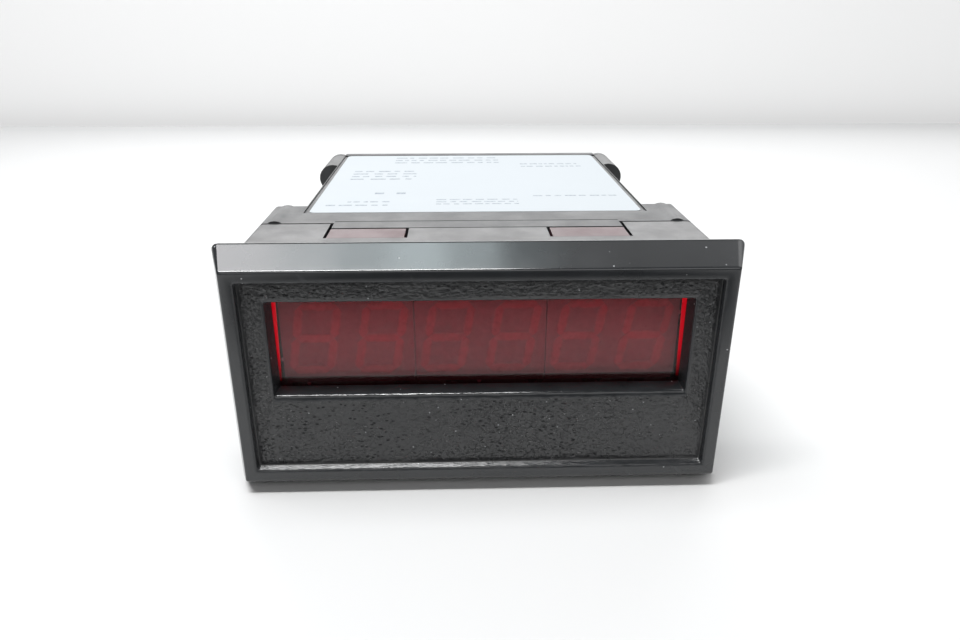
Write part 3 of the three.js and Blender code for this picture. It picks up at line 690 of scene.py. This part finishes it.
def housing_keys():
    """Key rings of the housing's section, from the neck's end round the front and back."""
    nw, nh = NECK["width"] / 2, NECK["height"] / 2
    bw, bh = BEZEL["width"] / 2, BEZEL["height"] / 2
    fw, fh = FACE["width"] / 2, FACE["height"] / 2
    rw, rh = RECESS["width"] / 2, RECESS["height"] / 2
    pw, ph = PANEL["width"] / 2, PANEL["height"] / 2
    ow, oh = OPENING["width"] / 2, OPENING["height"] / 2
    sw, sh = SEAT["width"] / 2, SEAT["height"] / 2
    lw, lh = LAND["width"] / 2, LAND["height"] / 2
    iw, ih = nw - NECK["wall"], nh - NECK["wall"]
    band = BEZEL["back"] - BEZEL["band"]
    middle = SEAT["middle"]
    seat = SEAT["depth"]
    return [
        (nw, nh, NECK["radius"], NECK["end"], 0, 0.25, 3, "neck"),
        (nw, nh, NECK["radius"], BEZEL["back"], 0, 0.15, 1, "neck"),
        (bw, bh, BEZEL["radius"], BEZEL["back"], 0, 0.2, 1, "bezel"),
        (bw, bh, BEZEL["radius"], band, 0, 0.22, 2, "bezel"),
        (fw, fh, FACE["radius"], 0, FACE["middle"], 0.4, 1, "bezel"),
        (rw, rh, RECESS["radius"], 0, RECESS["middle"], 0.5, 1, "ledge"),
        (pw, ph, RECESS["radius"], RECESS["depth"], PANEL["middle"], 0.25, 46, "panel"),
        (ow, oh, OPENING["radius"], RECESS["depth"], OPENING["middle"], 0.7, 1, "sill"),
        (sw, sh, INSIDE_RADIUS, seat, middle, 0.08, 1, "sill"),
        (lw, lh, INSIDE_RADIUS, seat, middle, 0.1, 1, "bezel"),
        (lw, lh, INSIDE_RADIUS, FRONT_WALL_BACK, middle, 0.1, 1, "neck"),
        (iw, ih, INSIDE_RADIUS, FRONT_WALL_BACK, 0, 0.1, 1, "neck"),
        (iw, ih, INSIDE_RADIUS, NECK["end"], 0, 0.2, 1, "neck"),
    ]


def smooth_step(value, low, high):
    share = np.clip((value - low) / (high - low), 0, 1)
    return share * share * (3 - 2 * share)


def box_distance(points, half_width, half_height, middle):
    """Distance to the rectangle's outline, positive inside it."""
    dx = half_width - np.abs(points[:, 0])
    dz = half_height - np.abs(points[:, 2] - middle)
    return np.minimum(dx, dz)


def leather(x, z):
    """The panel's grain at a place in millimetres: roughly -1 to 1, and near 0 on average."""
    warp = noise.noise(Vector((x * 0.7, z * 0.7, 3.1))) * 0.5
    cells = noise.voronoi(Vector((x * 1.25 + warp, z * 1.25 - warp, 5.3)))[0]
    pebble = 1.0 - 1.9 * min(1.0, cells[0] / max(cells[1], 1e-6)) ** 2
    lump = noise.noise(Vector((x * 1.1, z * 1.1, 9.7)))
    fine = noise.noise(Vector((x * 3.4, z * 3.4, 1.7)))
    return 0.55 * pebble + 0.5 * lump + 0.2 * fine - 0.18


def grained(points):
    """Raises the panel's points by the grain, which fades out near its edges."""
    ow, oh = OPENING["width"] / 2, OPENING["height"] / 2
    pw, ph = PANEL["width"] / 2, PANEL["height"] / 2
    inside = box_distance(points, pw, ph, PANEL["middle"])
    outside = -box_distance(points, ow, oh, OPENING["middle"])
    margin, fade = GRAIN["margin"], GRAIN["fade"]
    mask = smooth_step(inside, margin, margin + fade)
    mask = mask * smooth_step(outside, margin + 0.15, margin + fade)
    flat = np.abs(points[:, 1] - RECESS["depth"]) < 0.001
    share = np.where(flat, mask, 0.0)
    for index in np.nonzero(share > 0)[0]:
        height = leather(points[index, 0], points[index, 2])
        points[index, 1] -= GRAIN["height"] * height * share[index]
    return points, share


def neck_cutters():
    """The notch with its two finger pockets, for the neck's top and bottom walls."""
    wall = NECK["height"] / 2 - NECK["wall"] - 0.5
    inner, outer = FINGER_POCKET["inner"], FINGER_POCKET["outer"]
    front, shoulder, end = FINGER_POCKET["start"], NOTCH_START, NECK["end"] + 1
    plan = [(inner, shoulder), (inner, front), (outer, front), (outer, end)]
    plan += [(-x, y) for x, y in reversed(plan)]
    parts = []
    for side in (1, -1):
        zs = sorted((side * wall, side * (wall + 4)))
        points, faces = raised(plan, zs[1], zs[0])
        parts.append((to_frame([(x, y, z) for x, z, y in points]), faces))
    return parts


def front_housing():
    keys = housing_keys()
    rings, marks = softened(keys)
    points, faces, count = ring_loft(rings, columns=236, rows=104)
    points, share = grained(points)
    mesh = mesh_from("front_housing_skin", to_frame(points), faces)
    mesh.attributes.new("grain", "FLOAT", "POINT").data.foreach_set("value", share)
    kind_of_ring = np.array([HOUSING_FINISHES.index(keys[mark][7]) for mark in marks], np.int32)
    mesh.polygons.foreach_set("material_index", np.repeat(kind_of_ring, count))
    for name in HOUSING_FINISHES:
        mesh.materials.append(finishes[name])
    piece = link("front_housing_shell", mesh)
    cut(piece, neck_cutters(), "neck_cutters")
    shade(piece.data, 32.0)
    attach(piece, body_of("front_housing"))
    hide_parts("front_housing")
    return piece


def latch_fingers():
    """The springy fingers, which join the neck's wall at the front end of their pockets."""
    root = FRONT_Y + (FINGER_POCKET["start"] + FINGER_POCKET["root_gap"]) * MM
    for end in ("top", "bottom"):
        for side in ("left", "right"):
            node = f"latch_finger_{end}_{side}"
            piece = soft_copy(node, 0.08, behind=root)
            place(piece, finishes["finger"], "housing_black", node)


def display_posts():
    """Four round posts behind the front wall, with pilot holes for the display screws."""
    back = (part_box("display_board")[0].y - FRONT_Y) / MM - POST["board_gap"]
    start = FRONT_WALL_BACK - POST["sunk"]
    section = [(POST["hole"], POST["hole_start"]), (POST["hole"], back), (POST["radius"], back)]
    section += [(POST["radius"], start), (0.0, start), (0.0, POST["hole_start"])]
    parts = []
    for number in range(1, 5):
        low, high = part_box(f"display_screw_{number}")
        x = (low.x + high.x) / 2 / MM
        z = ((low.z + high.z) / 2 - MIDDLE_Z) / MM
        points, faces = turned(section, 24)
        parts.append((to_frame([(px + x, py, pz + z) for px, py, pz in points]), faces))
    points, faces = joined(parts)
    piece = link("display_posts", mesh_from("posts", points, faces))
    shade(piece.data)
    place(piece, finishes["neck"], "housing_black", body="front_unit")


# Display -----------------------------------------------------------------------------


def segment_outlines(bar):
    """The seven bars of one figure, as outlines round its middle, before the slant."""
    edge = (FIGURE["width"] - FIGURE["bar"]) / 2
    top = (FIGURE["height"] - FIGURE["bar"]) / 2
    h = bar / 2

    def across(z):
        left, right = -edge + BAR_GAP, edge - BAR_GAP
        upper = [(right, z), (right - h, z + h), (left + h, z + h)]
        return [(left, z), (left + h, z - h), (right - h, z - h)] + upper

    def upright(x, low, high):
        low, high = low + BAR_GAP, high - BAR_GAP
        back = [(x, high), (x - h, high - h), (x - h, low + h)]
        return [(x, low), (x + h, low + h), (x + h, high - h)] + back

    bars = [across(z) for z in (top, 0.0, -top)]
    for x in (-edge, edge):
        bars += [upright(x, 0.0, top), upright(x, -top, 0.0)]
    return bars


def raised(outline, back, front):
    """Points and faces of a flat outline (x, z) raised between two depths."""
    count = len(outline)
    points = [(x, front, z) for x, z in outline] + [(x, back, z) for x, z in outline]
    faces = [tuple(range(count)), tuple(reversed(range(count, 2 * count)))]
    for i in range(count):
        j = (i + 1) % count
        faces.append((i, i + count, j + count, j))
    return points, faces


def led_figures(number):
    """The two figures on a display module: bars just proud of its face, and their spread."""
    low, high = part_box(f"led_module_{number}")
    face = (low.y - FRONT_Y) / MM
    middle_x = (low.x + high.x) / 2 / MM
    lean = math.tan(math.radians(FIGURE["slant_deg"]))
    for label, bar, proud, finish in BAR_LAYERS:
        parts = []
        for step in (-0.5, 0.5):
            start = middle_x + step * FIGURE["pitch"]
            for outline in segment_outlines(bar):
                placed = [(start + x + z * lean, z + FIGURES_MIDDLE) for x, z in outline]
                parts.append(raised(placed, face - BAR_SUNK, face - proud))
        points, faces = joined(parts)
        piece = link(f"led_{label}_{number}", mesh_from(label, to_frame(points), faces))
        place(piece, finishes[finish], "led_face", body="front_unit")


def face_plate(number):
    """The pale plate on a display module's front, clear of its dark lower edge."""
    low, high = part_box(f"led_module_{number}")
    face = (low.y - FRONT_Y) / MM
    left, right = low.x / MM + FACE_PLATE["side"], high.x / MM - FACE_PLATE["side"]
    left -= FACE_PLATE["end"] if number == 1 else 0.0
    right += FACE_PLATE["end"] if number == 3 else 0.0
    bottom = (low.z - MIDDLE_Z) / MM + FACE_PLATE["bottom"]
    top = (high.z - MIDDLE_Z) / MM - FACE_PLATE["top"]
    outline = [(left, bottom), (right, bottom), (right, top), (left, top)]
    back, front = face + FACE_PLATE["sunk"], face - FACE_PLATE["proud"]
    points, faces = raised(outline, back, front)
    piece = link(f"led_face_{number}", mesh_from("face", to_frame(points), faces))
    place(piece, finishes["led"], "led_face", body="front_unit")


def window_edges():
    """Strips of red light beside the display, seen through the window's two ends."""
    low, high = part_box("display_window")
    back = (high.y - FRONT_Y) / MM
    inner, outer = LIT_END["inner"], LIT_END["outer"]
    bottom = (low.z - MIDDLE_Z) / MM + LIT_END["bottom"]
    top = (high.z - MIDDLE_Z) / MM - LIT_END["top"]
    for hand, side in ((-1, "left"), (1, "right")):
        outline = [(inner + LIT_END["lean"], bottom), (outer, bottom), (outer, top), (inner, top)]
        placed = [(hand * x, z) for x, z in outline]
        if hand < 0:
            placed.reverse()
        points, faces = raised(placed, back + 0.25, back + 0.1)
        piece = link(f"window_edge_{side}", mesh_from("edge", to_frame(points), faces))
        place(piece, finishes["edge"], "window_red", body="front_unit")


def display():
    place(soft_copy("display_window", 0.15), finishes["lens"], "window_red", "display_window")
    for number in (1, 2, 3):
        node = f"led_module_{number}"
        place(soft_copy(node, 0.2), finishes["led_body"], "led_face", node)
        face_plate(number)
        led_figures(number)
    window_edges()


# Label -------------------------------------------------------------------------------

LABEL = {"side": 0.9, "end": 0.3, "corner": 1.3}
PRINT = {"sunk": 0.01, "proud": 0.012, "spacing": 3.0, "dash": (0.5, 1.5), "gap": (0.25, 0.6)}
# Groups of short bars: left end (x), distance from the label's front, length, rows,
# bar height and bar length, in millimetres.
LABEL_ROWS = [
    (-34.0, 6.2, 14.0, 1, 0.9, 2.6),
    (-29.5, 9.4, 10.0, 1, 0.9, 1.6),
    (-24.0, 17.5, 2.2, 1, 1.6, 2.2),
    (-18.8, 17.5, 2.2, 1, 1.6, 2.2),
    (-9.0, 7.0, 19.0, 3, 0.7, 1.8),
    (-32.0, 34.0, 17.0, 4, 1.1, 3.0),
    (-22.0, 56.0, 30.0, 3, 1.2, 2.4),
    (14.0, 50.0, 17.0, 2, 1.2, 1.4),
    (14.0, 14.5, 20.0, 1, 0.8, 1.8),
]


def label_sheet():
    """The paper label: a thin sheet with rounded corners, inside the case's shallow bed."""
    low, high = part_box("top_label")
    half_width = (high.x - low.x) / 2 - LABEL["side"] * MM
    half_depth = (high.y - low.y) / 2 - LABEL["end"] * MM
    outline = rounded_outline(half_width, half_depth, LABEL["corner"] * MM, 12, 12, 6)
    points, faces = raised(outline, low.z, high.z)
    middle = (low.y + high.y) / 2
    placed = [(x, y + middle, z) for x, z, y in points]
    piece = link("label_sheet", mesh_from("label", placed, faces))
    shade(piece.data)
    return place(piece, finishes["label"], "label_paper", "top_label")


def label_print():
    """Faint generic ruling on the label: short bars in rows, with no lettering."""
    low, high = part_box("top_label")
    chance = random.Random(SEED)
    top = high.z
    parts = []

    def bar(x0, x1, y0, y1):
        low_z, high_z = top - PRINT["sunk"] * MM, top + PRINT["proud"] * MM
        parts.append(block((x0, y0, low_z), (x1, y1, high_z)))

    def row(x0, x1, y, height, dash):
        x = x0
        while x < x1:
            length = dash * chance.uniform(*PRINT["dash"])
            bar(x, min(x + length, x1), y, y + height)
            x += length + dash * chance.uniform(*PRINT["gap"])

    for x, depth, length, rows, height, dash in LABEL_ROWS:
        for step in range(rows):
            y = low.y + (depth + step * PRINT["spacing"] * height) * MM
            row(x * MM, (x + length) * MM, y, height * MM, dash * MM)
    points, faces = joined(parts)
    piece = link("label_ruling", mesh_from("ruling", points, faces))
    return place(piece, finishes["ink"], "label_paper", body=body_of("top_label"))


# Everything else keeps its CAD shape, with soft edges and a finish of its own -----------

COPIES = [
    ("rear_case", 0.12, "case", "case_black"),
    ("rear_cover", 0.0, "case", "case_black"),
    ("display_board", 0.1, "board", "board_green"),
    ("main_board", 0.1, "board", "board_green"),
    ("board_header", 0.08, "chip", "chip_black"),
    ("counter_chip", 0.12, "chip", "chip_black"),
    ("driver_chip_1", 0.12, "chip", "chip_black"),
    ("driver_chip_2", 0.12, "chip", "chip_black"),
    ("bridge_rectifier", 0.15, "chip", "chip_black"),
    ("voltage_regulator", 0.12, "chip", "chip_black"),
    ("time_base_crystal", 0.15, "steel", "steel"),
    ("trimmer_body", 0.15, "white", "white_plastic"),
    ("trimmer_rotor", 0.1, "brass", "brass"),
    ("transformer_core", 0.12, "core", "lamination"),
    ("transformer_winding", 0.25, "tape", "winding_tape"),
    ("reservoir_capacitor", 0.0, "sleeve", "sleeve_blue"),
    ("output_capacitor", 0.0, "sleeve", "sleeve_blue"),
    ("heat_sink", 0.12, "aluminium", "sink_aluminium"),
    ("terminal_strip", 0.12, "terminal", "terminal_black"),
    ("range_switch", 0.12, "switch", "switch_red"),
]
REPEATED = [
    ("display_screw", 4, 0.08, "steel", "steel"),
    ("clamp_washer", 6, 0.08, "brass", "brass"),
    ("terminal_screw", 6, 0.1, "steel", "steel"),
    ("switch_slider", 4, 0.06, "white", "white_plastic"),
    ("cover_screw", 4, 0.1, "steel", "steel"),
]


def copies():
    rows = list(COPIES)
    for name, count, soft, finish, slot in REPEATED:
        rows.extend((f"{name}_{i + 1}", soft, finish, slot) for i in range(count))
    for node, soft, finish, slot in rows:
        place(soft_copy(node, soft), finishes[finish], slot, node)


# Stage, in metres --------------------------------------------------------------------

TABLE = {
    "half_width": 1.6,
    "front": -1.6,
    "back": 0.366,
    "gap": 0.00002,
    "wall_gap": 0.02,
    "wall_height": 0.3,
}


def studio_surface(name, colour, rough, glow=0.0):
    n = Nodes(name)
    cloud = n.noise(3.0, 3)
    tone = n.mix(n.ramp(cloud, 0.3, 0.7, 0, 1), shaded(colour, 0.985), colour)
    normal = n.bump(n.noise(900, 3), 0.02 * MM, 0.3)
    return n.finish(
        {
            "Base Color": tone,
            "Roughness": rough,
            "Normal": normal,
            "Emission Color": rgba(1.0, 1.0, 1.0),
            "Emission Strength": glow,
        }
    )


def stage():
    """A pale table that the counter rests on by its bezel and its back edge, and a wall."""
    cover_low, cover_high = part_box("rear_cover")
    rest_y = FRONT_Y + BEZEL["back"] * MM
    rise = (cover_low.z - housing_low.z) / (cover_high.y - rest_y)
    w = TABLE["half_width"]

    def table_z(y):
        return housing_low.z + (y - rest_y) * rise - TABLE["gap"]

    front, back = TABLE["front"], TABLE["back"]
    table = link("table", mesh_from("table", [
        (-w, front, table_z(front)),
        (w, front, table_z(front)),
        (w, back, table_z(back)),
        (-w, back, table_z(back)),
    ], [(0, 1, 2, 3)]))
    table.data.materials.append(studio_surface("table_top", rgba(0.68, 0.68, 0.68), 0.6))
    wall_y = back + TABLE["wall_gap"]
    wall = link("backdrop", mesh_from("backdrop", [
        (-w, wall_y, table_z(back) - TABLE["wall_height"]),
        (w, wall_y, table_z(back) - TABLE["wall_height"]),
        (w, wall_y, table_z(back) + TABLE["wall_height"]),
        (-w, wall_y, table_z(back) + TABLE["wall_height"]),
    ], [(0, 1, 2, 3)]))
    wall.data.materials.append(studio_surface("backdrop_paper", rgba(0.5, 0.5, 0.5), 0.7, 0.42))
    shade_reflection_card(table_z)


CARD = {
    "half_width": 0.16,
    "middle_x": 0.012,
    "front": -0.62,
    "back": -0.10,
    "lift": 0.0006,
    "fade_side": (0.4, 0.75),  # of the half width
    "fade_back": (0.015, 0.075),
}


def shade_reflection_card(table_z):
    """A soft-edged black card on the table before the counter, seen only in its gloss: a painted
    reflection of the shade that falls on the table there.
    """
    left, right = CARD["middle_x"] - CARD["half_width"], CARD["middle_x"] + CARD["half_width"]
    front, back, lift = CARD["front"], CARD["back"], CARD["lift"]
    card = link("shade_reflection_card", mesh_from("card", [
        (left, front, table_z(front) + lift),
        (right, front, table_z(front) + lift),
        (right, back, table_z(back) + lift),
        (left, back, table_z(back) + lift),
    ], [(0, 1, 2, 3)]))
    n = Nodes("shade_reflection_black")
    spot = n.add("ShaderNodeSeparateXYZ", {"Vector": n.place})
    aside = n.math("ABSOLUTE", n.math("SUBTRACT", spot.outputs["X"], CARD["middle_x"]))
    fades = [CARD["half_width"] * share for share in CARD["fade_side"]]
    inner = n.ramp(aside, *fades, 1.0, 0.0)
    fades = [back - distance for distance in CARD["fade_back"]]
    ahead = n.ramp(spot.outputs["Y"], *fades, 0.0, 1.0)
    cover = n.math("MULTIPLY", inner, ahead)
    dark = n.add("ShaderNodeBsdfDiffuse", {"Color": rgba(0.02, 0.02, 0.022)})
    clear = n.add("ShaderNodeBsdfTransparent")
    both = n.add("ShaderNodeMixShader", {0: cover, 1: clear.outputs[0], 2: dark.outputs[0]})
    n.tree.links.new(both.outputs[0], n.output.inputs["Surface"])
    card.data.materials.append(n.material)
    # Painted shade: the card shows only in reflections, where it darkens the gloss as shade on the
    # table would.
    card.visible_camera = False
    card.visible_diffuse = False
    card.visible_transmission = False
    card.visible_shadow = False
    return card


def softbox(name, centre, target, size, radiance, colour=(1.0, 1.0, 1.0)):
    """A rectangular light that looks as bright as its radiance says."""
    data = bpy.data.lights.new(name, "AREA")
    data.shape = "RECTANGLE"
    data.size, data.size_y = size
    data.energy = radiance * size[0] * size[1] * math.pi
    data.color = colour
    lamp = bpy.data.objects.new(name, data)
    lamp.location = centre
    aim = Vector(target) - Vector(centre)
    lamp.rotation_mode = "QUATERNION"
    lamp.rotation_quaternion = aim.to_track_quat("-Z", "Y")
    bpy.context.scene.collection.objects.link(lamp)
    return lamp


# The overhead light, from left to right: how bright each soft panel looks.
OVERHEAD = {
    "height": 0.65,
    "left": -0.40,
    "panel": 0.055,
    "front": -0.10,
    "back": 0.09,
    "levels": (8.0, 8.0, 7.8, 7.6, 6.4, 5.2, 6.9, 4.4, 1.1),
    "warm": (1.0, 0.985, 1.0),
    "cool": (0.88, 1.0, 1.03),
}


def lights():
    """Softboxes overhead that dim to the right, a dim ceiling beside them, a bright narrow
    key light above the front, soft fills from behind, the front and the right, and a sky.
    """
    height = OVERHEAD["height"]
    depth = OVERHEAD["back"] - OVERHEAD["front"]
    y = (OVERHEAD["back"] + OVERHEAD["front"]) / 2
    levels = OVERHEAD["levels"]
    for index, radiance in enumerate(levels):
        x = OVERHEAD["left"] + (index + 0.5) * OVERHEAD["panel"]
        share = smooth_step(index, 2, 6)
        colour = [a + (b - a) * share for a, b in zip(OVERHEAD["warm"], OVERHEAD["cool"])]
        size = (OVERHEAD["panel"], depth)
        softbox(f"overhead_{index + 1}", (x, y, height), (x, y, 0.0), size, radiance, colour)
    edge = OVERHEAD["left"] + len(levels) * OVERHEAD["panel"]
    softbox("ceiling", (edge + 0.25, y, height), (edge + 0.25, y, 0.0), (0.5, depth), 0.62)
    softbox("back_glow", (0.06, 0.36, 0.24), (0.06, -0.2, 0.24), (0.7, 0.24), 2.4)
    softbox("front_fill", (0.12, -0.85, 0.62), (0.05, -0.05, 0.0), (1.3, 0.5), 1.4)
    softbox("right_fill", (0.58, -0.02, 0.5), (0.0, -0.05, 0.0), (0.35, 0.7), 1.4)
    softbox("key", (-0.14, -0.155, 0.62), (-0.14, -0.155, 0.0), (0.38, 0.07), 40.0)
    world = bpy.data.worlds.new("studio")
    world.use_nodes = True
    tree = world.node_tree
    background = tree.nodes["Background"]
    seen = tree.nodes.new("ShaderNodeLightPath").outputs["Is Camera Ray"]
    level = tree.nodes.new("ShaderNodeMapRange")
    level.inputs["To Min"].default_value = 0.1
    level.inputs["To Max"].default_value = 0.94
    tree.links.new(seen, level.inputs["Value"])
    tree.links.new(level.outputs["Result"], background.inputs["Strength"])
    background.inputs["Color"].default_value = rgba(1.0, 1.0, 1.0)
    bpy.context.scene.world = world


# The photograph's camera: place in metres, turns in radians, lens in millimetres.
CAMERA = {
    "place": (-0.0042044, -0.1773516, 0.0880206),
    "pitch": -0.39824,
    "yaw": -0.0317244,
    "roll": 0.00105,
    "lens": 27.783,
}


def camera():
    data = bpy.data.cameras.new("camera")
    data.lens = CAMERA["lens"]
    data.sensor_width = 36.0
    data.clip_start = 0.005
    data.clip_end = 20.0
    eye = bpy.data.objects.new("camera", data)
    eye.location = CAMERA["place"]
    turn = Matrix.Rotation(CAMERA["yaw"], 4, "Z")
    tilt = Matrix.Rotation(math.pi / 2 + CAMERA["pitch"], 4, "X")
    roll = Matrix.Rotation(CAMERA["roll"], 4, "Z")
    eye.rotation_mode = "QUATERNION"
    eye.rotation_quaternion = (turn @ tilt @ roll).to_quaternion()
    bpy.context.scene.collection.objects.link(eye)
    bpy.context.scene.camera = eye


# Build -------------------------------------------------------------------------------

camera()
front_housing()
latch_fingers()
display_posts()
display()
label_sheet()
label_print()
copies()
stage()
lights()
bpy.context.scene.view_settings.view_transform = "Standard"
